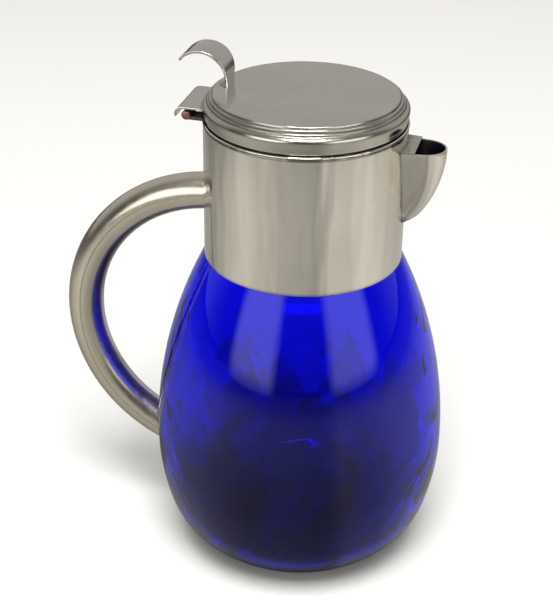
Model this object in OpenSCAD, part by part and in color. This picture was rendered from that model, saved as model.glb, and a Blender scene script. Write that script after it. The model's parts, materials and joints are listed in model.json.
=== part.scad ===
// Lidded water jug: blown glass body in a metal neck mount with spout,
// tubular handle and a hinged lid with a thumb lift.
// Millimetres. +Z up, origin at the centre of the flat base on the glass axis.
// The spout points along +X and the handle and hinge are on the -X side.

/* [Glass] */
// Widest radius of the glass
glass_r = 76; // [60:0.5:90]
// Height of the widest ring above the base
glass_belly_z = 66.5; // [60:0.5:90]
// Radius of the long shoulder curve above the widest ring
shoulder_curve = 227; // [120:1:300]
// Radius of the curve just below the widest ring
belly_curve = 123.7; // [100:0.1:180]
// Radius of the heel curve
heel_curve = 44.4; // [40:0.1:46]
// Wall thickness of the blown glass
glass_wall = 3.5; // [2:0.1:6]
// Thickness of the glass floor
glass_floor = 6.5; // [4:0.1:12]
// Outer radius of the glass neck inside the collar
neck_r = 46.5; // [40:0.1:48]
// Height of the glass neck above the shoulder
neck_h = 19; // [8:0.5:40]

/* [Collar] */
// Outer radius of the collar sleeve
collar_r = 50; // [49.5:0.1:50.5]
// Sheet thickness of the collar
collar_wall = 1.2; // [0.6:0.1:2]
// Height of the collar's lower edge above the base
collar_z = 172; // [168:0.5:176]
// Height of the collar up to its top wire
collar_h = 71.6; // [66:0.1:80]
// Radius of the wire soldered round the top edge
wire_r = 0.6; // [0.4:0.05:0.8]

/* [Lid] */
// Gap between the collar's wire and the lid's rim
lid_gap = 0.6; // [0.4:0.05:1]
// Outer radius of the lid's rim
lid_r = 50.1; // [49.5:0.1:50.5]
// Height of the straight band round the rim
lid_band = 5.8; // [4:0.1:8]
// Radius of the rolled shoulder above the band
lid_shoulder = 2.6; // [2:0.1:3]
// Radius of the flat top disc
lid_disc_r = 45.3; // [44:0.1:45.6]
// Outer radius of the locating ring under the lid
skirt_r = 47.4; // [44:0.1:47.8]
// Depth of the locating ring below the rim edge
skirt_drop = 4.4; // [2:0.1:6]

/* [Hinge] */
// Distance of the hinge pin from the jug's axis
hinge_x = 56.5; // [56:0.1:58]
// Height of the hinge pin above the base
hinge_z = 244; // [243.5:0.1:244.5]
// Radius of the hinge pin
pin_r = 1.6; // [1:0.05:1.8]
// Outer radius of the hinge barrels
barrel_r = 2.3; // [2.2:0.05:2.5]
// Half the length of the whole hinge
hinge_half = 14; // [10:0.1:15]
// Half the length of the middle barrel
knuckle_half = 5.5; // [3:0.1:8]
// Width of the cover leaf
leaf_w = 31; // [30:0.5:36]
// Thickness of the cover leaf
leaf_t = 1; // [0.6:0.1:1.4]

/* [Thumb lift] */
// Radius of the lift's outer curve
lift_curve = 13.3; // [10:0.1:15]
// Distance of the curve's centre from the jug's axis
lift_x = 51; // [48:0.5:52]
// Strip thickness
lift_t = 1.3; // [0.8:0.1:2]
// Width at the foot
lift_w_foot = 12; // [8:0.5:14]
// Width over the curl
lift_w_top = 18.5; // [14:0.5:24]

/* [Spout] */
// Height of the spout's rim above the collar's lower edge
spout_rise = 63; // [58:0.5:64]
// Radius of the rounded nose
nose_r = 10.8; // [9:0.1:11.5]
// Lean of the nose away from the jug, degrees
nose_lean = 12.3; // [8:0.1:16]
// Half width of the spout at the rim, at the collar
spout_half = 12.2; // [11.5:0.1:13]
// Sheet thickness of the spout
spout_wall = 0.9; // [0.6:0.1:1.4]
// Reach of the cover plate from the jug's axis
bridge_x = 55.6; // [53:0.1:58]
// Thickness of the cover plate
bridge_t = 0.8; // [0.5:0.1:1.2]

/* [Handle] */
// Outer radius of the handle tube
tube_r = 9.4; // [7:0.1:11]
// Wall thickness of the handle tube
tube_wall = 1.2; // [0.8:0.1:2]
// Distance of the bend's centre from the jug's axis
bend_x = 44; // [42:0.1:46]
// Height of the bend's centre above the base
bend_z = 123.7; // [122:0.1:126]
// Radius of the bend to the tube's centre line
bend_r = 75.7; // [72:0.1:80]
// Gap between the handle's end plate and the glass
end_gap = 0.5; // [0.3:0.1:2]
// Thickness of the handle's end plate
end_t = 1.2; // [0.8:0.1:3]

/* [Hidden] */
$fn = 96;

silver = [0.72, 0.70, 0.65];
cobalt = [0.05, 0.08, 0.55, 0.6];
plaster = [0.86, 0.84, 0.78];
copper = [0.62, 0.40, 0.32];
solder = [0.52, 0.52, 0.50];

// Longer than any part, for cutting blocks
big = 400;

collar_top = collar_z + collar_h;
collar_in = collar_r - collar_wall;
sleeve_top = collar_top - 2 * wire_r;
rim_z = collar_z + spout_rise;

lid_z = collar_top + lid_gap;
band_top = lid_z + lid_band;
// Rise of the stepped top above the band
lid_step = 6.7;
lid_top = band_top + lid_step;

// Clearance of the cover leaf above the pin's axis
leaf_lift = 2.6;
leaf_top = hinge_z + leaf_lift + leaf_t;
// Distance between the middle barrel and the fixed ones
barrel_gap = 0.4;
// How far the pin's heads stand off the fixed barrels
head_gap = 0.05;

// Direction from the belly curve's centre to the joint with the heel, a 7-24-25 triangle
heel_cos = 0.96;
heel_sin = 0.28;

// ---------- glass ----------

// Half outline of the blown body, drawn in by d from the outside.
module glass_half(d) {
  belly_x = glass_r - belly_curve;
  heel_x = belly_x + (belly_curve - heel_curve) * heel_cos;
  heel_z = glass_belly_z - (belly_curve - heel_curve) * heel_sin;
  joint_z = glass_belly_z - (belly_curve - d) * heel_sin;
  bottom = d > 0 ? glass_floor : 0;
  // shoulder
  intersection() {
    translate([glass_r - shoulder_curve, glass_belly_z]) circle(r = shoulder_curve - d);
    translate([0, glass_belly_z]) square([big, collar_z - d - glass_belly_z]);
  }
  // belly, down to where the heel takes over
  intersection() {
    translate([belly_x, glass_belly_z]) circle(r = belly_curve - d);
    translate([0, joint_z]) square([big, glass_belly_z - joint_z]);
  }
  // heel
  intersection() {
    union() {
      translate([heel_x, heel_z]) circle(r = heel_curve - d);
      square([heel_x, joint_z]);
    }
    translate([0, bottom]) square([big, joint_z - bottom]);
  }
}

module glass_body() {
  root = 1;
  mouth_from = collar_z - 30;
  color(cobalt) rotate_extrude() difference() {
    union() {
      glass_half(0);
      translate([0, collar_z - root]) square([neck_r, neck_h + root]);
    }
    glass_half(glass_wall);
    translate([0, mouth_from]) square([neck_r - glass_wall, big]);
  }
}

module neck_cement() {
  seat = 0.5;
  below_lip = 2;
  color(plaster) translate([0, 0, collar_z + seat]) difference() {
    cylinder(r = collar_in, h = neck_h - seat - below_lip);
    translate([0, 0, -1]) cylinder(r = neck_r, h = neck_h + 2);
  }
}

// ---------- collar ----------

// Opening behind the spout, seen from the front.
module pour_window() {
  top = rim_z - 4;
  drop = 28;
  half_top = spout_half - 3.8;
  half_low = 2.8;
  rotate([90, 0, 90]) linear_extrude(height = big)
    polygon([[-half_top, top], [half_top, top], [half_low, top - drop], [-half_low, top - drop]]);
}

module collar_sleeve() {
  color(silver) difference() {
    translate([0, 0, collar_z]) cylinder(r = collar_r, h = sleeve_top - collar_z);
    translate([0, 0, collar_z - 1]) cylinder(r = collar_in, h = collar_h + 2);
    pour_window();
  }
}

module collar_wire() {
  wire_x = collar_r - wire_r / 2;
  color(silver) rotate_extrude() translate([wire_x, collar_top - wire_r]) circle(r = wire_r);
}

// ---------- spout ----------

// Foot of the nose's leaning axis
nose_x = collar_r - 0.5;
nose_z = collar_z + 22;
// Narrowing of each cheek for every millimetre down
cheek_taper = 0.204;

module on_nose_axis() {
  translate([nose_x, 0, nose_z]) rotate([0, nose_lean, 0]) children();
}

// Bullet-shaped nose, drawn in by d.
module nose(d) {
  tip_curve = 25;
  tip_len = 21;
  stem = 40;
  on_nose_axis() rotate_extrude() {
    intersection() {
      translate([nose_r - tip_curve, tip_len]) circle(r = tip_curve - d);
      square([big, tip_len]);
    }
    translate([0, tip_len]) square([nose_r - d, stem]);
  }
}

// Flat cheeks that narrow towards the bottom, seen from the front, drawn in by d.
module cheeks(d) {
  low = collar_z + 15;
  half_low = spout_half - cheek_taper * (rim_z - low);
  rotate([90, 0, 90]) linear_extrude(height = 90)
    polygon([
      [-spout_half + d, rim_z], [spout_half - d, rim_z],
      [half_low - d, low], [-half_low + d, low]
    ]);
}

// Outline of the cheeks from above, between collar and nose, drawn in by d.
module cheek_plan(d) {
  inner_x = 30;
  turn_x = collar_r - 2;
  outer_x = collar_r + 10.5;
  outer_half = nose_r - 0.2;
  linear_extrude(height = rim_z)
    polygon([
      [inner_x, -spout_half + d], [turn_x, -spout_half + d], [outer_x, -outer_half + d],
      [outer_x, outer_half - d], [turn_x, spout_half - d], [inner_x, spout_half - d]
    ]);
}

module spout_form(d) {
  room = 80;
  intersection() {
    cheeks(d);
    union() {
      nose(d);
      // cheeks, behind the nose's own axis
      intersection() {
        cheek_plan(d);
        on_nose_axis() translate([-room, -room / 2, d]) cube([room, room, room]);
      }
    }
    // nothing above the rim
    translate([0, -room / 2, collar_z]) cube([2 * room, room, spout_rise]);
  }
}

module spout_shell() {
  open_rim = 0.01;
  color(silver) difference() {
    spout_form(0);
    translate([0, 0, open_rim]) spout_form(spout_wall);
    translate([0, 0, collar_z - 10]) cylinder(r = collar_r, h = collar_h + 20);
  }
}

module spout_bridge() {
  inner_x = 40;
  turn_x = collar_r - 2;
  outer_half = spout_half - 0.8;
  color(silver) difference() {
    translate([0, 0, rim_z]) linear_extrude(height = bridge_t)
      polygon([
        [inner_x, -spout_half], [turn_x, -spout_half], [bridge_x, -outer_half],
        [bridge_x, outer_half], [turn_x, spout_half], [inner_x, spout_half]
      ]);
    translate([0, 0, rim_z - 10]) cylinder(r = collar_r, h = 20);
  }
}

// ---------- hinge ----------

// Round bar along the hinge's axis from y0 to y1.
module barrel(r, y0, y1) {
  translate([-hinge_x, y0, hinge_z]) rotate([-90, 0, 0]) cylinder(r = r, h = y1 - y0);
}

module hinge_bracket() {
  fit = 0.02;
  arm_z = hinge_z - 2.1;
  arm_t = 1.6;
  arm_reach = 16.5;
  strip_t = 1.2;
  wire_room = 0.05;
  inner_y = knuckle_half + barrel_gap;
  color(silver) difference() {
    union() {
      barrel(barrel_r, inner_y, hinge_half);
      barrel(barrel_r, -hinge_half, -inner_y);
      for (s = [-1, 1])
        translate([-hinge_x, s > 0 ? inner_y : -hinge_half, arm_z])
          cube([arm_reach, hinge_half - inner_y, arm_t]);
      // strip that joins the arms along the collar
      intersection() {
        translate([0, 0, arm_z]) cylinder(r = collar_r + strip_t, h = arm_t);
        translate([-60, -hinge_half, arm_z]) cube([20, 2 * hinge_half, arm_t]);
      }
    }
    barrel(pin_r + fit, -hinge_half - 1, hinge_half + 1);
    translate([0, 0, arm_z - 5]) cylinder(r = collar_r, h = 20);
    translate([0, 0, sleeve_top - 2 * wire_room])
      cylinder(r = collar_r + wire_r / 2 + wire_room, h = 10);
  }
}

module hinge_pin() {
  head_r = 2;
  head_t = 0.5;
  head_y = hinge_half + head_gap;
  color(copper) {
    barrel(pin_r, -head_y - head_gap, head_y + head_gap);
    barrel(head_r, head_y, head_y + head_t);
    barrel(head_r, -head_y - head_t, -head_y);
  }
}

// ---------- lid ----------

// Half outline of the lid: rim band, rolled shoulder, stepped rise with two beads, flat disc.
module lid_outline() {
  edge = lid_disc_r;
  translate([0, lid_z]) square([lid_r, lid_band]);
  intersection() {
    translate([lid_r - lid_shoulder, band_top]) circle(r = lid_shoulder);
    translate([0, band_top]) square([big, big]);
  }
  translate([0, band_top]) polygon([
    [0, 0], [edge + 2.2, 0], [edge + 2.2, 2.6], [edge + 1.6, 3.2], [edge + 0.9, 4.2],
    [edge, 5.4], [edge, lid_step - 0.4], [edge - 0.4, lid_step], [0, lid_step]
  ]);
  translate([edge + 1.75, band_top + 3.45]) circle(r = 0.5);
  translate([edge + 0.6, band_top + 4.6]) circle(r = 0.65);
}

module lid_shell() {
  rim_wall = 1.2;
  disc_wall = 1.3;
  ceiling = lid_top - disc_wall;
  color(silver) rotate_extrude() difference() {
    lid_outline();
    polygon([
      [0, lid_z - 1], [lid_r - rim_wall, lid_z - 1], [lid_r - rim_wall, band_top - 0.4],
      [lid_r - 3.5, band_top + 1.2], [lid_disc_r - disc_wall, ceiling], [0, ceiling]
    ]);
  }
}

module lid_skirt() {
  t = 1;
  into_lid = lid_band + 0.6;
  color(silver) translate([0, 0, lid_z - skirt_drop]) difference() {
    cylinder(r = skirt_r, h = skirt_drop + into_lid);
    translate([0, 0, -1]) cylinder(r = skirt_r - t, h = big);
  }
}

// Side view of the leaf: a flat strip whose outer edge turns down over the barrels.
module leaf_profile() {
  inner_x = 30;
  turn_r = 3;
  turn_x = hinge_x + 1.5;
  turn_z = leaf_top - turn_r;
  lip = 1;
  translate([inner_x, leaf_top - leaf_t]) square([turn_x - inner_x, leaf_t]);
  intersection() {
    translate([turn_x, turn_z]) difference() {
      circle(r = turn_r);
      circle(r = turn_r - leaf_t);
    }
    translate([turn_x, turn_z]) square([big, big]);
  }
  translate([turn_x + turn_r - leaf_t, turn_z - lip]) square([leaf_t, lip]);
}

module lid_leaf() {
  run = 0.05;
  web_half = 1.3;
  color(silver) difference() {
    union() {
      rotate([0, 0, 180]) rotate([90, 0, 0]) translate([0, 0, -leaf_w / 2])
        linear_extrude(height = leaf_w) leaf_profile();
      barrel(barrel_r, -knuckle_half, knuckle_half);
      // web between the barrel and the leaf
      translate([-hinge_x - web_half, -knuckle_half, hinge_z])
        cube([2 * web_half, 2 * knuckle_half, leaf_lift + leaf_t / 2]);
    }
    barrel(pin_r + run, -knuckle_half - 1, knuckle_half + 1);
    translate([0, 0, lid_z - 2]) cylinder(r = lid_r, h = 20);
  }
}

// Bead of solder along the joint of leaf and rim.
module leaf_solder() {
  fillet = 1.1;
  half = leaf_w / 2 - 1.5;
  color(solder) intersection() {
    rotate_extrude() translate([lid_r, leaf_top]) difference() {
      square([fillet, fillet]);
      translate([fillet, fillet]) circle(r = fillet);
    }
    translate([-60, -half, leaf_top - 1]) cube([30, 2 * half, 4]);
  }
}

// ---------- thumb lift ----------

// Side view of the lift: an upright foot that curls over towards the jug's back.
module lift_profile() {
  curl_z = lid_top + 5.3;
  tip = 29;
  arm = 60;
  intersection() {
    translate([lift_x, curl_z]) difference() {
      circle(r = lift_curve);
      circle(r = lift_curve - lift_t);
    }
    translate([lift_x, curl_z]) polygon([
      [0, 0], [arm * cos(tip), arm * sin(tip)], [arm, arm], [-arm, arm], [-arm, 0]
    ]);
  }
  translate([lift_x - lift_curve, lid_top]) square([lift_t, curl_z - lid_top]);
}

module thumb_lift() {
  full_width = lid_top + 14;
  above = lid_top + 30;
  color(silver) intersection() {
    rotate([0, 0, 180]) rotate([90, 0, 0]) translate([0, 0, -lift_w_top / 2])
      linear_extrude(height = lift_w_top) lift_profile();
    // strip widens from foot to curl
    rotate([90, 0, -90]) linear_extrude(height = 90) polygon([
      [-lift_w_foot / 2, lid_top], [lift_w_foot / 2, lid_top],
      [lift_w_top / 2, full_width], [lift_w_top / 2, above],
      [-lift_w_top / 2, above], [-lift_w_top / 2, full_width]
    ]);
  }
}

// Low mound of solder at the outer side of the lift's foot.
module lift_solder() {
  foot_x = lift_x - lift_curve + lift_t;
  spread = 5.8;
  mound_h = 0.7;
  color(solder) difference() {
    translate([-foot_x, 0, lid_top]) cylinder(r1 = spread, r2 = spread / 2, h = mound_h);
    translate([-foot_x, -10, lid_top - 1]) cube([20, 20, 4]);
  }
}

// ---------- handle ----------

// The tube's run, with the child outline as its section (+X is the outside of the bend).
module handle_run() {
  above = 89;
  below = 72;
  translate([-bend_x, 0, bend_z]) rotate([90, 0, 180]) rotate([0, 0, -below])
    rotate_extrude(angle = above + below) translate([bend_r, 0]) children();
}

// Lower end of the handle, on a plane parallel to the glass beside it
end_z = 56;
end_turn = asin((glass_belly_z - end_z) / belly_curve);
end_x = glass_r - belly_curve + belly_curve * cos(end_turn);

// Slab beside the glass from near to far, measured away from the glass.
module beside_glass(near, far) {
  rotate([0, 0, 180]) translate([end_x, 0, end_z]) rotate([0, end_turn, 0])
    translate([near, -40, -60]) cube([far - near, 80, 120]);
}

// One half of the tube's section: side 1 is the outside of the bend, -1 the inside.
module half_ring(side) {
  room = 20;
  difference() {
    circle(r = tube_r);
    circle(r = tube_r - tube_wall);
    translate([side > 0 ? -room : 0, -room]) square([room, 2 * room]);
  }
}

module handle_shell(side) {
  difference() {
    handle_run() half_ring(side);
    translate([0, 0, collar_z - 5]) cylinder(r = collar_r, h = collar_h);
    beside_glass(-120, end_gap + end_t);
  }
}

module handle_outer() {
  color(silver) handle_shell(1);
}

module handle_inner() {
  color(silver) handle_shell(-1);
}

module handle_end() {
  color(silver) intersection() {
    handle_run() circle(r = tube_r);
    beside_glass(end_gap, end_gap + end_t);
  }
}

// ---------- draw ----------

glass_body();
neck_cement();
collar_sleeve();
collar_wire();
spout_shell();
spout_bridge();
hinge_bracket();
hinge_pin();
lid_shell();
lid_skirt();
lid_leaf();
leaf_solder();
thumb_lift();
lift_solder();
handle_outer();
handle_inner();
handle_end();
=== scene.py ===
import json
import math

import bmesh
import bpy
from mathutils import Matrix, Vector, noise


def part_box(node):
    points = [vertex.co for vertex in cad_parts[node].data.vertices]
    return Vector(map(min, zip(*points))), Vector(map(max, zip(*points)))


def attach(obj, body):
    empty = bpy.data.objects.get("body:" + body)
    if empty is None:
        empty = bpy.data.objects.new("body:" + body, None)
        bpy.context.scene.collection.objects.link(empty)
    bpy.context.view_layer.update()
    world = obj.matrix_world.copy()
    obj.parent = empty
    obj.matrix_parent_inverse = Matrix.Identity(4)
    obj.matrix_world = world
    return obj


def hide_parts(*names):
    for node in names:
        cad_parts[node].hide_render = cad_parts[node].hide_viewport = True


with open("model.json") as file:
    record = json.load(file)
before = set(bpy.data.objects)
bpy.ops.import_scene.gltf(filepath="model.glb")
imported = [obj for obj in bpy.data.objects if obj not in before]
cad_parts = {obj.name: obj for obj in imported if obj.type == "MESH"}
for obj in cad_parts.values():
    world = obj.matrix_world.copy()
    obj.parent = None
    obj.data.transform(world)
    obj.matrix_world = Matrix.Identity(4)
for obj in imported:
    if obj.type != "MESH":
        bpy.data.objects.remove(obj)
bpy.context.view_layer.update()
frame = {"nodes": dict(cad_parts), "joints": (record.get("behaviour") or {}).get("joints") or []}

# Shapes are in millimetres, in the CAD's frame, and MM turns them into Blender's metres.
# Materials, lamps and the floor are in metres.
MM = 0.001


# ---------- places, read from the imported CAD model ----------

def node_box(name):
    """Lowest and highest corner of a CAD node, in millimetres."""
    low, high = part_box(name)
    return low / MM, high / MM


glass_low, glass_high = node_box("glass_body")
sleeve_low, sleeve_high = node_box("collar_sleeve")
wire_low, wire_high = node_box("collar_wire")
lid_low, lid_high = node_box("lid_shell")
leaf_high = node_box("lid_leaf")[1]
lift_low, lift_high = node_box("thumb_lift")
spout_low, spout_high = node_box("spout_shell")
bridge_low, bridge_high = node_box("spout_bridge")
pin_low, pin_high = node_box("hinge_pin")

collar_r = sleeve_high.y
# The belly of the glass: its widest height and the radius of its curve in side view.
belly_z, belly_curve = 66.5, 123.7
hinge = Vector(frame["joints"][0]["pos_m"]) / MM


# ---------- mesh tools ----------

def arc(centre_x, centre_z, radius, start, end, steps):
    """Points along an arc, from start to end in degrees."""
    points = []
    for i in range(steps + 1):
        angle = math.radians(start + (end - start) * i / steps)
        points.append((centre_x + radius * math.cos(angle), centre_z + radius * math.sin(angle)))
    return points


def curve(start, pull, end, steps):
    """Points along a smooth bend from start towards pull and on to end, without the end itself."""
    points = []
    for i in range(steps):
        t = i / steps
        points.append(tuple(
            (1 - t) ** 2 * a + 2 * t * (1 - t) * b + t ** 2 * c for a, b, c in zip(start, pull, end)
        ))
    return points


def lathe(outline, steps=256, closed=False, move=None):
    """Turns an outline of (radius, height) points round the Z axis. move(point, index) may shift a point."""
    bm = bmesh.new()
    rings = []
    for index, (r, z) in enumerate(outline):
        if r < 1e-6:
            rings.append([bm.verts.new((0, 0, z * MM))] * steps)
            continue
        ring = []
        for i in range(steps):
            angle = 2 * math.pi * i / steps
            point = Vector((r * math.cos(angle), r * math.sin(angle), z))
            if move:
                point = move(point, index)
            ring.append(bm.verts.new(point * MM))
        rings.append(ring)
    pairs = list(zip(rings, rings[1:]))
    if closed:
        pairs.append((rings[-1], rings[0]))
    for near, far in pairs:
        for i in range(steps):
            j = (i + 1) % steps
            corners = list(dict.fromkeys([near[i], near[j], far[j], far[i]]))
            if len(corners) > 2:
                bm.faces.new(corners)
    return bm


def plate(grid, thick, wrap=False, skip=None):
    """A closed sheet of that thickness behind a grid of points on its outer face.

    wrap joins the last column to the first, and skip(row, column) leaves a cell open. Faces on
    the inner side have material index 1.
    """
    rows, columns = len(grid), len(grid[0])

    def at(i, j):
        i = min(max(i, 0), rows - 1)
        j = j % columns if wrap else min(max(j, 0), columns - 1)
        return grid[i][j]

    bm = bmesh.new()
    outer, inner = [], []
    for i in range(rows):
        outer.append([bm.verts.new(grid[i][j] * MM) for j in range(columns)])
        behind = []
        for j in range(columns):
            normal = (at(i, j + 1) - at(i, j - 1)).cross(at(i + 1, j) - at(i - 1, j)).normalized()
            behind.append(bm.verts.new((grid[i][j] - normal * thick) * MM))
        inner.append(behind)
    kept = [
        (i, j)
        for i in range(rows - 1)
        for j in range(columns if wrap else columns - 1)
        if not (skip and skip(i, j))
    ]
    sides = {}
    for i, j in kept:
        k = (j + 1) % columns
        corners = [(i, j), (i, k), (i + 1, k), (i + 1, j)]
        bm.faces.new([outer[a][b] for a, b in corners])
        bm.faces.new([inner[a][b] for a, b in reversed(corners)]).material_index = 1
        for a, b in zip(corners, corners[1:] + corners[:1]):
            if (b, a) in sides:
                del sides[(b, a)]
            else:
                sides[(a, b)] = True
    for a, b in sides:
        bm.faces.new([outer[b[0]][b[1]], outer[a[0]][a[1]], inner[a[0]][a[1]], inner[b[0]][b[1]]])
    loose = [v for v in bm.verts if not v.link_faces]
    bmesh.ops.delete(bm, geom=loose, context="VERTS")
    return bm


def soften(bm, width, angle=50, segments=2, above=-1):
    """Bevels every edge sharper than the angle in degrees, above that height."""
    edges = [
        e for e in bm.edges
        if len(e.link_faces) == 2 and e.calc_face_angle(0) > math.radians(angle)
        and min(v.co.z for v in e.verts) > above * MM
    ]
    bmesh.ops.bevel(
        bm, geom=edges, offset=width * MM, offset_type="OFFSET", segments=segments,
        profile=0.5, affect="EDGES", clamp_overlap=True,
    )


def extruded(outline, low, high):
    """A solid from a closed outline of (x, y) points, between two heights."""
    bm = bmesh.new()
    bottom = [bm.verts.new((x * MM, y * MM, low * MM)) for x, y in outline]
    top = [bm.verts.new((x * MM, y * MM, high * MM)) for x, y in outline]
    bm.faces.new(list(reversed(bottom)))
    bm.faces.new(top)
    for i in range(len(outline)):
        j = (i + 1) % len(outline)
        bm.faces.new([bottom[i], bottom[j], top[j], top[i]])
    return bm


def join(bm, other):
    """Adds the other mesh to this one."""
    mesh = bpy.data.meshes.new("joined")
    other.to_mesh(mesh)
    other.free()
    bm.from_mesh(mesh)
    bpy.data.meshes.remove(mesh)


def lay_on_hinge(bm):
    """Turns a mesh made round Z at the origin to lie along Y on the hinge's axis."""
    place = Matrix.Translation(hinge * MM) @ Matrix.Rotation(-math.pi / 2, 4, "X")
    bmesh.ops.transform(bm, matrix=place, verts=bm.verts)


def piece(name, bm, materials, body, nodes, grime_and_shade=None, sharp=35):
    """Makes a piece from a mesh, rides it on a body and lets it stand for CAD nodes.

    The second of two materials is the inner face's. grime(point) gives how much a point is darkened,
    from 0 to 1, kept as a point attribute: by dirt, and by painted shade under the hinge leaf.
    """
    if len(materials) == 1:
        for face in bm.faces:
            face.material_index = 0
    bmesh.ops.recalc_face_normals(bm, faces=bm.faces)
    for face in bm.faces:
        face.smooth = True
    for edge in bm.edges:
        if len(edge.link_faces) == 2 and edge.calc_face_angle(0) > math.radians(sharp):
            edge.smooth = False
    if grime_and_shade:
        layer = bm.verts.layers.float.new("grime_and_shade")
        for vert in bm.verts:
            vert[layer] = min(1, max(0, grime_and_shade(vert.co / MM)))
    mesh = bpy.data.meshes.new(name)
    bm.to_mesh(mesh)
    bm.free()
    for material in materials:
        mesh.materials.append(material)
    obj = bpy.data.objects.new(name, mesh)
    bpy.context.scene.collection.objects.link(obj)
    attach(obj, body)
    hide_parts(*nodes)


# ---------- node trees ----------

class Nodes:
    """Short calls for the nodes of a material, a lamp or the world."""

    def __init__(self, owner):
        owner.use_nodes = True
        self.tree = owner.node_tree

    def add(self, kind, inputs=None, **settings):
        node = self.tree.nodes.new(kind)
        for key, value in settings.items():
            setattr(node, key, value)
        for key, value in (inputs or {}).items():
            self.feed(node.inputs[key], value)
        return node

    def feed(self, socket, value):
        if isinstance(value, bpy.types.NodeSocket):
            self.tree.links.new(value, socket)
        else:
            socket.default_value = value

    def span(self, value, low, high, to_low=0, to_high=1, **settings):
        """Maps low..high to to_low..to_high, without going past them."""
        return self.add("ShaderNodeMapRange", {
            "Value": value, "From Min": low, "From Max": high, "To Min": to_low, "To Max": to_high,
        }, **settings).outputs["Result"]

    def ease(self, value, low, high):
        """Goes softly from 0 at low to 1 at high."""
        return self.span(value, low, high, interpolation_type="SMOOTHSTEP")

    def math(self, operation, a, b):
        return self.add("ShaderNodeMath", {0: a, 1: b}, operation=operation).outputs[0]

    def mix(self, factor, a, b):
        node = self.add("ShaderNodeMix", {0: factor, 6: a, 7: b}, data_type="RGBA")
        return node.outputs[2]


class Shader(Nodes):
    """A Principled material, with the patterns that the finishes share."""

    def __init__(self, name):
        self.material = bpy.data.materials.new(name)
        super().__init__(self.material)
        self.bsdf = self.tree.nodes["Principled BSDF"]
        self.where = self.add("ShaderNodeTexCoord").outputs["Object"]

    def set(self, **values):
        for key, value in values.items():
            self.feed(self.bsdf.inputs[key.replace("_", " ")], value)

    def noise(self, scale, detail=3, stretch=(1, 1, 1), warp=0):
        """Noise of that many cells a metre."""
        place = self.add("ShaderNodeMapping", {"Vector": self.where, "Scale": stretch})
        return self.add("ShaderNodeTexNoise", {
            "Vector": place.outputs["Vector"], "Scale": scale, "Detail": detail, "Distortion": warp,
        }).outputs["Fac"]

    def spots(self, scale, size):
        """1 in small round spots, 0 between them."""
        cells = self.add("ShaderNodeTexVoronoi", {"Vector": self.where, "Scale": scale})
        return self.span(cells.outputs["Distance"], size, size * 0.4)

    def attribute(self, name):
        return self.add("ShaderNodeAttribute", attribute_name=name).outputs["Fac"]

    def bump(self, height, depth, strength=1, under=None):
        """Bump of that depth in millimetres."""
        inputs = {"Height": height, "Distance": depth * MM, "Strength": strength}
        if under is not None:
            inputs["Normal"] = under
        return self.add("ShaderNodeBump", inputs).outputs["Normal"]


def rgb(r, g, b):
    return (r, g, b, 1)


# ---------- materials ----------

def silver(
    name, clean, dull, rough, rougher, pits=0.3, grain=0.5, brushed=(1, 1, 1), dents=(1, 1, 1),
    dented=0.03,
):
    """Old plated metal: cloudy tone, rubbing marks, shallow dents, pits, and darkening where grime
    says: dirt, and painted shade under the hinge leaf.

    brushed and dents stretch the marks and the dents, and dented is the dents' depth in millimetres.
    """
    s = Shader(name)
    cloud = s.span(s.noise(28, detail=4, warp=0.3), 0.25, 0.78)
    fine = s.noise(240, detail=4)
    colour = s.mix(cloud, clean, dull)
    marks = s.noise(1500, detail=2, stretch=brushed)
    pit = s.math("MULTIPLY", s.spots(520, 0.15), s.span(s.noise(75, detail=2), 0.54, 0.66))
    colour = s.mix(s.math("MULTIPLY", pit, pits), colour, rgb(0.05, 0.045, 0.04))
    # The grime attribute darkens the colour: dirt, and painted shade under the hinge leaf.
    dirt_and_shade = s.math("MULTIPLY", s.attribute("grime_and_shade"), s.span(fine, 0.25, 0.6, 0.55, 1))
    colour = s.mix(dirt_and_shade, colour, rgb(0.045, 0.038, 0.030))
    tone = s.math("ADD", cloud, s.span(fine, 0.3, 0.7, -0.3, 0.3))
    roughness = s.span(tone, 0, 1, rough, rougher)
    roughness = s.math("ADD", roughness, s.math("MULTIPLY", dirt_and_shade, 0.35))
    height = s.bump(marks, 0.012, grain)
    height = s.bump(s.noise(55, detail=2, stretch=dents), dented, under=height)
    height = s.bump(s.math("SUBTRACT", 1, pit), 0.06, 0.6, under=height)
    s.set(Base_Color=colour, Roughness=roughness, Normal=height, Metallic=1.0)
    return s.material


def rough_metal(name, light, dark, scale, depth, rough, rougher):
    """Cast or soldered metal with a lumpy, dull skin."""
    s = Shader(name)
    lumps = s.noise(scale, detail=6, warp=0.4)
    fine = s.noise(scale * 4, detail=3)
    colour = s.mix(s.span(lumps, 0.3, 0.65), dark, light)
    dirt_and_shade = s.math("MULTIPLY", s.attribute("grime_and_shade"), 0.85)
    colour = s.mix(dirt_and_shade, colour, rgb(0.03, 0.025, 0.02))
    height = s.bump(lumps, depth, 0.7)
    height = s.bump(fine, depth * 0.3, 0.5, under=height)
    s.set(
        Base_Color=colour, Roughness=s.span(fine, 0.3, 0.7, rough, rougher), Normal=height,
        Metallic=1.0,
    )
    return s.material


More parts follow.
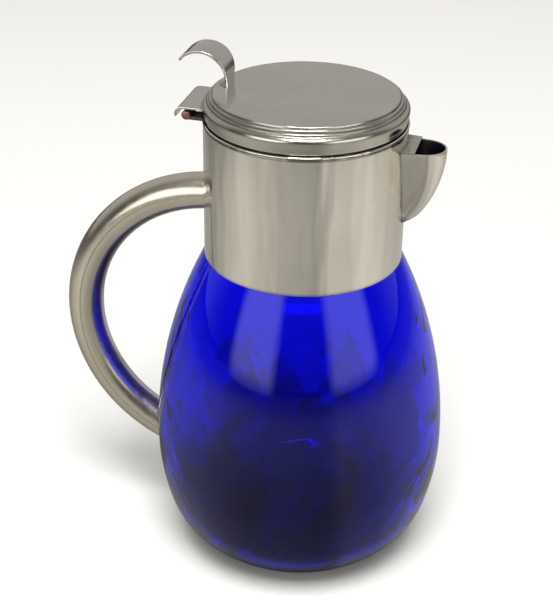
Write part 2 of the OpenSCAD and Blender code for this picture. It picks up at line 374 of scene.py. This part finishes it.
def cobalt_glass():
    """Blown cobalt glass: deeper and blotchy low down, faint ripples, dust and fine scratches."""
    s = Shader("cobalt_glass")
    level = s.add("ShaderNodeSeparateXYZ", {0: s.where}).outputs["Z"]
    streaks = s.noise(24, detail=4, stretch=(1, 1, 0.4), warp=0.9)
    level = s.math("ADD", level, s.span(streaks, 0.3, 0.7, -0.042, 0.042))
    colour = s.mix(s.span(streaks, 0.3, 0.7), rgb(0.002, 0.003, 0.92), rgb(0.001, 0.002, 0.76))
    blotch = s.span(s.noise(62, detail=2, stretch=(1, 1, 0.5), warp=0.6), 0.54, 0.68, 0, 0.8)
    blotch = s.math("MULTIPLY", blotch, s.span(level, 0.115, 0.075))
    colour = s.mix(blotch, colour, rgb(0.001, 0.002, 0.16))
    colour = s.mix(s.span(level, 0.082, 0.046), colour, rgb(0.004, 0.005, 0.30))
    scratch = s.span(s.noise(420, detail=3, stretch=(1, 1, 0.12)), 0.66, 0.78)
    dust = s.math("MULTIPLY", s.spots(900, 0.20), s.span(s.noise(90, detail=2), 0.5, 0.66))
    film = s.span(s.noise(35, detail=4, warp=1.2), 0.4, 0.75, 0.0, 0.05)
    roughness = s.math("ADD", film, s.math("MULTIPLY", dust, 0.35))
    roughness = s.math("ADD", roughness, s.math("MULTIPLY", scratch, 0.08))
    height = s.bump(s.noise(110, detail=2, stretch=(1, 1, 0.2)), 0.09, 0.45)
    s.set(
        Base_Color=colour, Roughness=roughness, Normal=height, IOR=1.46,
        Transmission_Weight=1.0,
    )
    return s.material


def plaster():
    """Setting plaster: chalky, with fine grain and a few air holes."""
    s = Shader("setting_plaster")
    tone = s.span(s.noise(120, detail=5), 0.3, 0.7)
    colour = s.mix(tone, rgb(0.62, 0.60, 0.54), rgb(0.40, 0.37, 0.32))
    holes = s.spots(500, 0.2)
    height = s.bump(s.math("SUBTRACT", s.noise(700, detail=3), holes), 0.15, 0.8)
    s.set(Base_Color=colour, Roughness=s.span(tone, 0, 1, 0.8, 0.95), Normal=height)
    return s.material


collar_finish = silver(
    "polished_silver", rgb(0.82, 0.785, 0.71), rgb(0.76, 0.725, 0.65), 0.06, 0.12,
    pits=0.5, grain=0.25, brushed=(1, 1, 0.05), dents=(1, 1, 0.16), dented=2.2,
)
lid_finish = silver(
    "satin_silver_lid", rgb(0.70, 0.675, 0.63), rgb(0.60, 0.575, 0.53), 0.15, 0.23,
    pits=0.7, grain=0.8,
)
# Painted shade: the lid's rim takes a darker copy of the lid's silver.
rim_finish = silver(
    "silver_rim_painted_shade", rgb(0.60, 0.58, 0.52), rgb(0.47, 0.45, 0.395), 0.17, 0.26,
    pits=0.5, grain=0.5,
)
handle_finish = silver(
    "satin_silver_handle", rgb(0.77, 0.715, 0.605), rgb(0.64, 0.585, 0.48), 0.18, 0.30,
    pits=0.4, grain=0.5,
)
# Painted shade: a dark copy of the silver for the hinge bracket and the lid's skirt, which sit where shade
# falls.
painted_shade_finish = rough_metal(
    "dark_silver", rgb(0.22, 0.20, 0.18), rgb(0.08, 0.07, 0.06), 160, 0.08, 0.4, 0.65
)
pin_finish = rough_metal(
    "copper_pin", rgb(0.50, 0.27, 0.22), rgb(0.24, 0.12, 0.10), 300, 0.06, 0.4, 0.6
)
solder_finish = rough_metal(
    "grey_solder", rgb(0.62, 0.60, 0.55), rgb(0.26, 0.24, 0.21), 420, 0.22, 0.35, 0.6
)
inside_finish = silver(
    "dull_silver_inside", rgb(0.50, 0.48, 0.43), rgb(0.34, 0.32, 0.28), 0.35, 0.5, grain=0.8
)
# Painted shade: the spout's inner face is made near black, as the inside of the spout lies in shade.
spout_lining = rough_metal(
    "spout_lining_painted_shade", rgb(0.055, 0.055, 0.075), rgb(0.02, 0.02, 0.03), 90, 0.05, 0.35, 0.55
)
glass_finish = cobalt_glass()
plaster_finish = plaster()


# ---------- glass ----------

def glass_wall(inset):
    """Half outline of the blown body from its flat or floor up to the shoulder, drawn in by inset."""
    shoulder_curve, heel_curve = 227.0, 44.4
    widest, inner_floor = glass_high.x, 6.5
    heel_turn = math.degrees(math.asin(0.28))
    span = belly_curve - heel_curve
    belly_x = widest - belly_curve
    heel_x = belly_x + span * math.cos(math.radians(heel_turn))
    heel_z = belly_z - span * math.sin(math.radians(heel_turn))
    foot = inner_floor if inset else glass_low.z
    heel_end = math.degrees(math.asin((foot - heel_z) / (heel_curve - inset)))
    top = sleeve_low.z - inset
    shoulder_end = math.degrees(math.asin((top - belly_z) / (shoulder_curve - inset)))
    heel = arc(heel_x, heel_z, heel_curve - inset, heel_end, -heel_turn, 40)
    belly = arc(belly_x, belly_z, belly_curve - inset, -heel_turn, 0, 24)
    shoulder = arc(widest - shoulder_curve, belly_z, shoulder_curve - inset, 0, shoulder_end, 64)
    return heel + belly[1:] + shoulder[1:]


def make_glass():
    wall, lip = 3.5, 1.4
    neck_r, neck_top = 46.5, glass_high.z
    dimple_columns, dimple_pitch = 22, 17
    shoulder_z = sleeve_low.z
    bend_z = shoulder_z - 8
    outside = glass_wall(0)
    punt = [(0, 0.9), (16, 0.9), (24, 0.55), (28.5, 0.08)]
    neck = [(neck_r + 1.2, shoulder_z - 0.05), (neck_r + 0.3, shoulder_z + 0.3), (neck_r, shoulder_z + 1.2)]
    neck += [(neck_r, neck_top - lip)]
    neck += arc(neck_r - wall / 2, neck_top - lip, lip, 0, 180, 10)[1:-1]
    bore = neck_r - wall
    inside = [p for p in reversed(glass_wall(wall)) if p[1] < bend_z]
    mouth = [(bore, neck_top - lip)]
    mouth += curve((bore, shoulder_z + 7), (bore, shoulder_z - 1.5), inside[0], 10)
    outline = punt + outside + neck + mouth + inside
    outline += [(30, inside[-1][1] - 0.05), (0, inside[-1][1] - 0.2)]
    first_inside = len(outline) - len(inside) - 2

    def ripple(point, index):
        """The inner face is uneven: rows of faint dimples from the mould, and ripples."""
        if index < first_inside:
            return point
        out = Vector((point.x, point.y, 0)).normalized()
        broad = noise.noise(Vector((point.x, point.y, point.z * 0.5)) / 26)
        fine = noise.noise(Vector((point.x, point.y, point.z * 0.45)) / 9)
        turn = math.atan2(point.y, point.x) + 0.12 * broad
        dimple = math.cos(dimple_columns * turn) * math.cos(2 * math.pi * point.z / dimple_pitch)
        dimple *= min(1, max(0, 0.35 + 1.5 * noise.noise(point / 17)))
        fade = min(1, max(0, (bend_z - point.z) / 20)) * min(1, max(0, (point.z - 9) / 15))
        return point + out * fade * (0.40 * broad + 0.30 * fine + 0.40 * dimple)

    piece("cobalt_body", lathe(outline, 320, move=ripple), [glass_finish], "jug", ["glass_body"])


# ---------- collar ----------

def make_collar():
    wall = 1.2
    window_top, window_drop = spout_high.z - 4, 28
    half_top, half_low = 8.4, 2.8
    around, edge_column = 288, 9
    low, high = sleeve_low.z, sleeve_high.z
    window_low = window_top - window_drop

    def half_angle(z):
        share = min(1, max(0, (z - window_low) / window_drop))
        return math.asin((half_low + (half_top - half_low) * share) / collar_r)

    def column_angle(column, z):
        """Columns beside the window follow its slanting sides."""
        k = column if column <= around // 2 else column - around
        step = 2 * math.pi / around
        edge, far = half_angle(z), 3 * edge_column
        if abs(k) <= edge_column:
            return edge * k / edge_column
        if abs(k) >= far:
            return k * step
        share = (abs(k) - edge_column) / (far - edge_column)
        return math.copysign(edge + (far * step - edge) * share, k)

    def levels(start, end, steps):
        return [start + (end - start) * i / steps for i in range(steps)]

    heights = levels(low, window_low, 18) + levels(window_low, window_top, 18)
    heights += levels(window_top, high, 8) + [high]
    grid = [
        [
            Vector((
                collar_r * math.cos(column_angle(c, z)), collar_r * math.sin(column_angle(c, z)), z
            ))
            for c in range(around)
        ]
        for z in heights
    ]

    def in_window(row, column):
        inside = column < edge_column or column >= around - edge_column
        return inside and window_low - 0.01 <= heights[row] < window_top - 0.01

    def dirt_and_shade(p):
        under_wire = math.exp(-((p.z - high) / 0.5) ** 2)
        at_edge = 0.6 * math.exp(-((p.z - low) / 0.35) ** 2)
        return under_wire + at_edge

    bm = plate(grid, wall, wrap=True, skip=in_window)
    soften(bm, 0.18)
    piece("collar", bm, [collar_finish, inside_finish], "jug", ["collar_sleeve"], grime_and_shade=dirt_and_shade)

    wire_r = (wire_high.z - wire_low.z) / 2
    ring = arc(wire_high.x - wire_r, wire_high.z - wire_r, wire_r, 0, 360, 20)[:-1]
    piece("collar_top_wire", lathe(ring, 288, closed=True), [collar_finish], "jug", ["collar_wire"])


# ---------- spout ----------

def make_spout():
    rim_z, rim_half, taper = spout_high.z, 12.2, 0.204
    rim_front, lowest = spout_high.x, spout_low.z + 0.7
    wall, fillet, blunt = 0.9, 0.4, 4.2
    nose_top, nose_tip, tip_round = 11.5, 5.5, 5
    sunk = 0.35
    fall, reach = rim_z - lowest, rim_front - collar_r - blunt
    # Radius of the front's curve, upright at the rim and through the blunt tip
    bend = (fall ** 2 + reach ** 2) / (2 * reach)
    root = collar_r + 0.3

    def section(z):
        """One level of the beak: flat cheeks, a thin fillet of solder at the collar, a round nose."""
        drop = rim_z - z
        front = rim_front - bend + math.sqrt(bend ** 2 - drop ** 2)
        rounding = min(1, (z - lowest) / tip_round + 0.05)
        front = root + (front - root) * math.sqrt(1 - (1 - rounding) ** 2)
        root_half = rim_half - taper * drop
        root_x = math.sqrt((collar_r - sunk) ** 2 - root_half ** 2)
        nose_depth = nose_top + (nose_tip - nose_top) * drop / fall
        nose_x = max(front - nose_depth, root_x + 0.3)
        nose_half = root_half * (0.885 - 0.10 * drop / fall)
        cheek, turn = 18, 44
        side = []
        for i in range(cheek):
            share = (i / cheek) ** 1.6
            x = root_x + (nose_x - root_x) * share
            flare = fillet * math.exp(-(x - root_x) / 0.4)
            side.append((x, root_half + (nose_half - root_half) * share + flare - fillet * 0.5))
        points = [Vector((x, -y, z)) for x, y in side]
        for i in range(turn + 1):
            angle = math.pi * (i / turn - 0.5)
            points.append(Vector((
                nose_x + (front - nose_x) * math.cos(angle),
                (nose_half - fillet * 0.5) * math.sin(angle), z,
            )))
        points += [Vector((x, y, z)) for x, y in reversed(side)]
        return points

    steps = 56
    grid = [section(lowest + fall * (i / steps) ** 1.8) for i in range(steps + 1)]
    bm = plate(grid, wall)
    for vert in bm.verts:
        vert.co.z = min(vert.co.z, rim_z * MM)
    soften(bm, 0.12, above=lowest + 4)

    def dirt_and_shade(p):
        from_collar = math.hypot(p.x, p.y) - collar_r
        joint = 0.8 * math.exp(-((from_collar - 0.25) / 0.3) ** 2)
        tip = 0.9 * math.exp(-((p.z - spout_low.z) / 2.6) ** 2)
        return max(joint, tip)

    # The inner faces take the near-black lining, painted shade inside the spout.
    piece("pouring_spout", bm, [collar_finish, spout_lining], "jug", ["spout_shell"], grime_and_shade=dirt_and_shade)

    back = [
        (math.sqrt((collar_r - sunk) ** 2 - y ** 2), y)
        for y in [rim_half * (1 - i / 8) for i in range(17)]
    ]
    outline = back + [(bridge_high.x, -(rim_half - 0.8)), (bridge_high.x, rim_half - 0.8)]
    bm = extruded(outline, bridge_low.z, bridge_high.z)
    soften(bm, 0.16, angle=40)
    bmesh.ops.triangulate(bm, faces=[f for f in bm.faces if len(f.verts) > 4])
    bmesh.ops.subdivide_edges(bm, edges=bm.edges, cuts=3, use_grid_fill=True)

    def film(p):
        return 0.35 + 0.5 * math.exp(-(math.hypot(p.x, p.y) - collar_r) / 1.6)

    piece("spout_cover_plate", bm, [collar_finish], "jug", ["spout_bridge"], grime_and_shade=film)


# ---------- lid ----------

def make_lid():
    r, low, top = lid_high.y, lid_low.z, lid_high.z
    band = low + 5.8
    wall, shoulder, belly = 1.3, 2.6, 14.0
    disc = r - 4.8
    bead_1, bead_2 = (disc + 0.95, top - 1.85), (disc + 2.15, top - 3.25)
    outline = [(0, top), (disc * 0.5, top - 0.02), (disc - 1.2, top - 0.06)]
    outline += arc(disc - 0.5, top - 0.6, 0.5, 90, 0, 6)
    outline += [(disc + 0.02, top - 0.95), (disc + 0.22, top - 1.22)]
    outline += arc(*bead_1, 0.72, 100, -20, 10)
    outline += [(disc + 1.68, top - 2.62)]
    outline += arc(*bead_2, 0.45, 95, -25, 8)
    outline += [(disc + 2.72, top - 3.95)]
    outline += arc(r - shoulder, band, shoulder, 66, 0, 14)
    outline += arc(r - belly, band, belly, 0, -19, 10)[1:]
    outline += arc(r - 1.27, low + 0.5, 0.5, -10, -90, 6)
    outline += [(r - 1.2, low), (r - 1.2, band - 0.5), (r - 3.4, band + 1.2)]
    outline += [(disc - 1.4, top - wall - 0.05), (disc - 3, top - wall), (0, top - wall)]

    grooves = [(disc + 0.15, top - 1.15), (disc + 1.62, top - 2.7), (disc + 2.68, top - 4.0)]

    def dirt_and_shade(p):
        here = (math.hypot(p.x, p.y), p.z)
        near = min(math.dist(here, g) for g in grooves)
        patchy = 0.8 + 0.5 * noise.noise(p / 6)
        return patchy * math.exp(-(near / 0.42) ** 2)

    bm = lathe(outline, 320)
    # Faces beyond the disc take the rim's darker silver, painted shade.
    for face in bm.faces:
        if face.calc_center_median().xy.length > (disc + 0.05) * MM:
            face.material_index = 1
    piece("lid", bm, [lid_finish, rim_finish], "lid", ["lid_shell"], grime_and_shade=dirt_and_shade, sharp=50)


def make_leaf():
    half, thick = leaf_high.y, 1.0
    top, bend = leaf_high.z, 3.0
    turn_x = hinge.x - 1.5
    across = 24

    def row(y):
        """Outer face of the leaf at one width, from the lid's rim over and down."""
        start = -math.sqrt((lid_high.y - 0.6) ** 2 - y ** 2)
        points = [Vector((start + (turn_x - start) * i / 10, y, top)) for i in range(10)]
        for x, z in arc(turn_x, top - bend, bend, 90, 180, 12):
            points.append(Vector((x, y, z)))
        points.append(Vector((turn_x - bend, y, top - bend - 1)))
        return points

    grid = [row(half * (2 * i / across - 1)) for i in range(across + 1)]
    for line in grid:
        for p in line:
            p.z -= 0.10 * noise.noise(p / 7) ** 2
    bm = plate(grid, thick)
    soften(bm, 0.22)

    barrel_r, bore, barrel_half, edge = 2.3, 1.65, 5.5, 0.25
    web_half, web_foot = 1.3, 1.8
    ring = [(bore, -barrel_half), (barrel_r - edge, -barrel_half), (barrel_r, edge - barrel_half)]
    ring += [(r, -y) for r, y in reversed(ring)]
    barrel = lathe(ring, 56, closed=True)
    lay_on_hinge(barrel)
    join(bm, barrel)
    near, far = hinge.x - web_half, hinge.x + web_half
    web = [(near, -barrel_half), (far, -barrel_half), (far, barrel_half), (near, barrel_half)]
    join(bm, extruded(web, hinge.z + web_foot, top - thick / 2))

    # Painted shade: the underside of the leaf, its barrel and web and its turned-down end are darkened where
    # shade falls; the joint with the rim holds dirt.
    def dirt_and_shade(p):
        below_middle = abs(p.y) <= barrel_half and p.z < top - thick - 0.1
        if below_middle or p.z < top - bend - 1.2:
            return 0.6
        return 0.7 * math.exp(-((math.hypot(p.x, p.y) - lid_high.y) / 0.9) ** 2)

    piece("hinge_leaf", bm, [lid_finish], "lid", ["lid_leaf"], grime_and_shade=dirt_and_shade)


def make_lift():
    curl, thick, curl_turn = 13.3, 1.3, 142
    centre_x, centre_z = lift_low.x + 11.63, lid_high.z + 5.3
    foot_z = lid_high.z - 0.3
    foot_half, full_half, full_z = 5.6, lift_high.y, lid_high.z + 14
    inner, rise = curl - thick, centre_z - foot_z
    across = 14

    def half_width(z, past_top):
        if past_top:
            return full_half
        share = min(1, max(0, (z - lid_high.z) / (full_z - lid_high.z)))
        return foot_half + (full_half - foot_half) * share

    # Side view of the inner face, up from the lid and over to the tip
    side = [(centre_x + inner, foot_z + rise * i / 8) for i in range(8)]
    side += arc(centre_x, centre_z, inner, 0, curl_turn, 44)
    grid = []
    for i in range(across + 1):
        share = 2 * i / across - 1
        points = []
        for n, (x, z) in enumerate(side):
            y = share * half_width(z, n > len(side) * 0.55)
            points.append(Vector((x, y, z)))
        grid.append(points)
    grid.reverse()
    bm = plate(grid, -thick)
    soften(bm, 0.28, segments=3)
    piece("thumb_lift_strip", bm, [lid_finish], "lid", ["thumb_lift"])


# ---------- solder ----------

def make_lift_solder():
    """Low, lumpy mound of solder on the outer side of the lift's foot."""
    low, high = node_box("lift_solder")
    rings, steps, sunk = 14, 72, 0.2
    spread_x, spread_y, height = high.x - low.x, high.y, high.z - low.z
    bm = bmesh.new()

    def point(ring, step):
        angle = math.pi / 2 + math.pi * step / steps
        ragged = 0.82 + 0.18 * noise.noise(Vector((math.cos(angle), math.sin(angle), 0)) * 2.3)
        share = ring / rings
        x = high.x + spread_x * ragged * share * math.cos(angle)
        y = spread_y * ragged * share * math.sin(angle)
        lump = 0.85 + 0.5 * noise.noise(Vector((x, y, 0)) / 0.9)
        z = low.z + height * lump * 0.8 * (1 - share ** 2)
        return Vector((x, y, min(max(z, low.z), high.z))) * MM

    grid = [[bm.verts.new(point(i, j)) for j in range(steps + 1)] for i in range(1, rings + 1)]
    centre = bm.verts.new(point(0, 0))
    base = [bm.verts.new((v.co.x, v.co.y, (low.z - sunk) * MM)) for v in grid[-1]]
    for j in range(steps):
        bm.faces.new([centre, grid[0][j], grid[0][j + 1]])
        for i in range(rings - 1):
            bm.faces.new([grid[i][j], grid[i + 1][j], grid[i + 1][j + 1], grid[i][j + 1]])
        bm.faces.new([grid[-1][j], base[j], base[j + 1], grid[-1][j + 1]])
    bm.faces.new(list(reversed(base)))
    first = [centre] + [row[0] for row in grid] + [base[0]]
    last = [centre] + [row[-1] for row in grid] + [base[-1]]
    bm.faces.new(first + list(reversed(last))[:-1])
    piece("lift_foot_solder", bm, [solder_finish], "lid", ["lift_solder"])


def make_leaf_solder():
    """Uneven bead along the joint of leaf and rim."""
    low, high = node_box("leaf_solder")
    r, half = lid_high.y, high.y
    steps, turn, sunk = 90, 10, 0.2
    rings = []
    bm = bmesh.new()
    for i in range(steps + 1):
        y = half * (2 * i / steps - 1)
        size = (0.75 + 0.35 * noise.noise(Vector((0, y / 1.4, 3)))) * min(1, 6 * (1 - abs(y) / half) + 0.15)
        size = min(size, high.z - low.z)
        x = -math.sqrt(r ** 2 - y ** 2)
        ring = [bm.verts.new(Vector((x + 0.3, y, low.z - sunk)) * MM)]
        for k in range(turn + 1):
            angle = math.pi / 2 * (1 + k / turn)
            hollow = 0.75 + 0.25 * abs(math.cos(2 * (angle - math.pi / 2)))
            ring.append(bm.verts.new(Vector((
                x + size * hollow * math.cos(angle), y, low.z + size * hollow * math.sin(angle)
            )) * MM))
        rings.append(ring)
    for near, far in zip(rings, rings[1:]):
        for k in range(len(near)):
            n = (k + 1) % len(near)
            bm.faces.new([near[k], near[n], far[n], far[k]])
    bm.faces.new(rings[0])
    bm.faces.new(list(reversed(rings[-1])))
    piece("leaf_joint_solder", bm, [solder_finish], "lid", ["leaf_solder"])


# ---------- hinge pin ----------

def make_pin():
    """Pin with hammered, slightly domed ends, lying along Y."""
    radius, head = 1.6, (pin_high.z - pin_low.z) / 2
    end = pin_high.y
    half = [(0, -end), (head * 0.55, -end + 0.05), (head * 0.9, -end + 0.18), (head, -end + 0.34)]
    half += [(head, -end + 0.5), (radius, -end + 0.55)]
    outline = half + [(r, -y) for r, y in reversed(half)]
    bm = lathe(outline, 48)
    lay_on_hinge(bm)
    piece("copper_pin", bm, [pin_finish], "jug", ["hinge_pin"])


# ---------- handle ----------

def make_handle():
    centre_x, centre_z, bend = -44.0, 123.7, 75.7
    tube, wall, gap = 9.4, 1.2, 1.7
    end_z = 56.0
    end_turn = math.asin((belly_z - end_z) / belly_curve)
    end_x = glass_high.x - belly_curve + belly_curve * math.cos(end_turn)
    cut = gap + math.cos(end_turn) * (centre_x + end_x) + math.sin(end_turn) * (centre_z - end_z)
    steps, around = 150, 40
    # Degrees that each half stops short of the middle plane
    seam = 0.15

    def line(turn):
        """One line along the tube's skin, from the end plate up to the collar."""
        out, side = tube * math.cos(turn), tube * math.sin(turn)
        radius = bend + out
        first = -math.acos(cut / radius) - end_turn
        last = math.acos((math.sqrt((collar_r - 0.4) ** 2 - side ** 2) + centre_x) / radius)
        points = []
        for i in range(steps + 1):
            angle = first + (last - first) * i / steps
            points.append(Vector((
                centre_x - radius * math.cos(angle), side, centre_z + radius * math.sin(angle)
            )))
        return points

    def dirt_and_shade(p):
        at_seam = 0.45 * math.exp(-((abs(p.y) - tube) / 0.01) ** 2)
        return at_seam + 0.4 * math.exp(-((math.hypot(p.x, p.y) - collar_r) / 0.4) ** 2)

    for name, node, middle in (
        ("handle_outer_half", "handle_outer", 0), ("handle_inner_half", "handle_inner", 180)
    ):
        turns = [
            math.radians(middle + (90 - seam) * (2 * i / around - 1)) for i in range(around + 1)
        ]
        bm = plate([line(t) for t in turns], wall)
        soften(bm, 0.10)
        piece(name, bm, [handle_finish], "jug", [node], grime_and_shade=dirt_and_shade)


# ---------- CAD nodes that stay, with their finishes ----------

def finish_cad_nodes():
    """Gives the CAD nodes that no piece replaces a finish: their own metal or plaster, but for the hinge
    bracket and the lid's skirt a dark silver that is painted shade.
    """
    finishes = {
        "neck_cement": plaster_finish,
        # The bracket and the skirt take dark silver as painted shade.
        "hinge_bracket": painted_shade_finish,
        "lid_skirt": painted_shade_finish,
        "handle_end": handle_finish,
    }
    for node, finish in finishes.items():
        materials = frame["nodes"][node].data.materials
        materials.clear()
        materials.append(finish)


# ---------- studio ----------

camera_azimuth = 13.0


def toward(azimuth, elevation):
    """Direction from the jug, with azimuth 0 at -Y and 90 at +X."""
    a, e = math.radians(azimuth), math.radians(elevation)
    return Vector((math.sin(a) * math.cos(e), -math.cos(a) * math.cos(e), math.sin(e)))


def make_camera():
    """The photograph's viewpoint, as estimated: 13 degrees round to the spout, looking down by 29."""
    data = bpy.data.cameras.new("camera")
    camera = bpy.data.objects.new("camera", data)
    bpy.context.scene.collection.objects.link(camera)
    bpy.context.scene.camera = camera
    data.lens = 85.41
    data.sensor_width = 36
    data.clip_start, data.clip_end = 0.01, 50
    pan, tilt, roll = 0.0203, 0.4998, 0.0130
    distance, height = 647.4, 496.3
    base = Matrix.Rotation(math.radians(camera_azimuth), 4, "Z")
    place = Matrix.Translation(Vector((0, -distance, height)) * MM)
    turn = Matrix.Rotation(pan, 4, "Z") @ Matrix.Rotation(math.pi / 2 - tilt, 4, "X")
    camera.matrix_world = base @ place @ turn @ Matrix.Rotation(roll, 4, "Z")


def softbox(name, azimuth, elevation, distance, width, height, power, soft_edge=0):
    """A lamp of that many watts, aimed at the jug and unseen by the camera.

    soft_edge is the share of its width that fades out at each side.
    """
    data = bpy.data.lights.new(name, "AREA")
    data.shape = "RECTANGLE"
    data.size, data.size_y = width, height
    data.energy = power
    data.color = (1, 0.985, 0.96)
    light = bpy.data.objects.new(name, data)
    bpy.context.scene.collection.objects.link(light)
    aim = Vector((0, 0, 0.13))
    light.location = aim + toward(azimuth, elevation) * distance
    light.rotation_mode = "QUATERNION"
    light.rotation_quaternion = (light.location - aim).to_track_quat("Z", "Y")
    light.visible_camera = False
    if soft_edge:
        fade_edges(data, soft_edge)


def fade_edges(data, edge):
    """Dims a softbox towards its edges, as cloth in front of one lamp does."""
    lamp = Nodes(data)
    place = lamp.add("ShaderNodeNewGeometry").outputs["Parametric"]
    split = lamp.add("ShaderNodeSeparateXYZ", {0: place})
    x, y = split.outputs["X"], split.outputs["Y"]
    level = lamp.ease(x, 0, edge)
    for fade in (lamp.ease(x, 1, 1 - edge), lamp.ease(y, 1, 1 - edge), lamp.ease(y, -0.05, edge * 0.7)):
        level = lamp.math("MULTIPLY", level, fade)
    lamp.feed(lamp.tree.nodes["Emission"].inputs["Strength"], level)


def make_world():
    """A dim room in front of the jug, lighter behind it and overhead. The camera sees it white."""
    world = bpy.data.worlds.new("studio")
    bpy.context.scene.world = world
    sky = Nodes(world)
    way = sky.add("ShaderNodeTexCoord").outputs["Generated"]
    ahead = sky.add(
        "ShaderNodeVectorMath", {0: way, 1: toward(camera_azimuth, 0)}, operation="DOT_PRODUCT"
    ).outputs["Value"]
    up = sky.add("ShaderNodeSeparateXYZ", {0: way}).outputs["Z"]
    behind = sky.ease(ahead, 0.25, -0.5)
    overhead = sky.math("MULTIPLY", sky.ease(up, 0.30, 0.65), 0.4)
    lit = sky.math("MAXIMUM", behind, overhead)
    room = sky.tree.nodes["Background"]
    sky.feed(room.inputs["Color"], sky.mix(lit, rgb(0.075, 0.075, 0.075), rgb(0.46, 0.455, 0.44)))
    white = sky.add("ShaderNodeBackground", {"Color": rgb(1, 1, 1)})
    seen = sky.add("ShaderNodeLightPath").outputs["Is Camera Ray"]
    either = sky.add("ShaderNodeMixShader", {0: seen, 1: room.outputs[0], 2: white.outputs[0]})
    sky.feed(sky.tree.nodes["World Output"].inputs["Surface"], either.outputs[0])


def make_floor():
    """A pale table top. When mirrored it shows painted light instead: uneven grey bands of painted
    shade, a painted shadow close by and painted dimming far off.
    """
    half = 12.0
    bm = bmesh.new()
    bmesh.ops.create_grid(bm, x_segments=8, y_segments=8, size=half)
    mesh = bpy.data.meshes.new("floor")
    bm.to_mesh(mesh)
    bm.free()
    floor = bpy.data.objects.new("floor", mesh)
    bpy.context.scene.collection.objects.link(floor)
    s = Shader("pale_floor")
    turned = s.add("ShaderNodeMapping", {
        "Vector": s.where, "Rotation": (0, 0, math.radians(90 - camera_azimuth)),
    }).outputs["Vector"]
    round_jug = s.add("ShaderNodeTexGradient", {"Vector": turned}, gradient_type="RADIAL")
    ramp = s.add("ShaderNodeValToRGB", {"Fac": round_jug.outputs["Fac"]})
    shades = ramp.color_ramp
    # Degrees round from the camera's side, positive towards the spout, and the painted grey that
    # reflections see there
    stops = (
        (-180, 0.42), (-150, 0.32), (-134, 0.22), (-112, 0.25), (-96, 0.37), (-66, 0.46), (-30, 0.29),
        (-6, 0.27), (14, 0.22), (22, 0.27), (30, 0.41), (48, 0.39), (74, 0.53), (120, 0.41), (180, 0.42),
    )
    for n, (angle, grey) in enumerate(stops):
        place = 0.5 + angle / 360
        if n < 2:
            stop = shades.elements[n]
            stop.position = place
        else:
            stop = shades.elements.new(place)
        stop.color = rgb(grey, grey * 0.985, grey * 0.94)
    tone = s.noise(3, detail=3)
    rays = s.add("ShaderNodeLightPath")
    mirrored = s.math("MULTIPLY", rays.outputs["Is Reflection Ray"], rays.outputs["Is Glossy Ray"])
    pale = s.mix(tone, rgb(0.87, 0.87, 0.865), rgb(0.85, 0.85, 0.845))
    away = s.add("ShaderNodeVectorMath", {0: s.where}, operation="LENGTH").outputs["Value"]
    # Painted shadow of the jug close by and painted dimming far off, seen only in reflections.
    dim = s.math("ADD", s.span(away, 0.5, 1.1, 0.0, 0.8), s.span(away, 0.30, 0.15, 0.0, 0.25))
    shade = s.mix(dim, ramp.outputs["Color"], rgb(0.05, 0.05, 0.05))
    s.set(Base_Color=s.mix(mirrored, pale, shade), Roughness=0.9, Specular_IOR_Level=0.1)
    mesh.materials.append(s.material)


def make_studio():
    softbox("left_softbox", camera_azimuth - 41, 17, 1.3, 1.15, 0.95, 6.5, soft_edge=0.22)
    softbox("right_softbox", camera_azimuth + 46, 17, 1.3, 1.25, 0.95, 6.5, soft_edge=0.22)
    softbox("top_softbox", camera_azimuth, 64, 4.0, 2.0, 2.0, 190)
    make_world()
    make_floor()
    scene = bpy.context.scene
    scene.view_settings.view_transform = "Standard"
    scene.cycles.caustics_refractive = False


make_glass()
make_collar()
make_spout()
make_lid()
make_leaf()
make_lift()
make_lift_solder()
make_leaf_solder()
make_pin()
make_handle()
finish_cad_nodes()
make_camera()
make_studio()
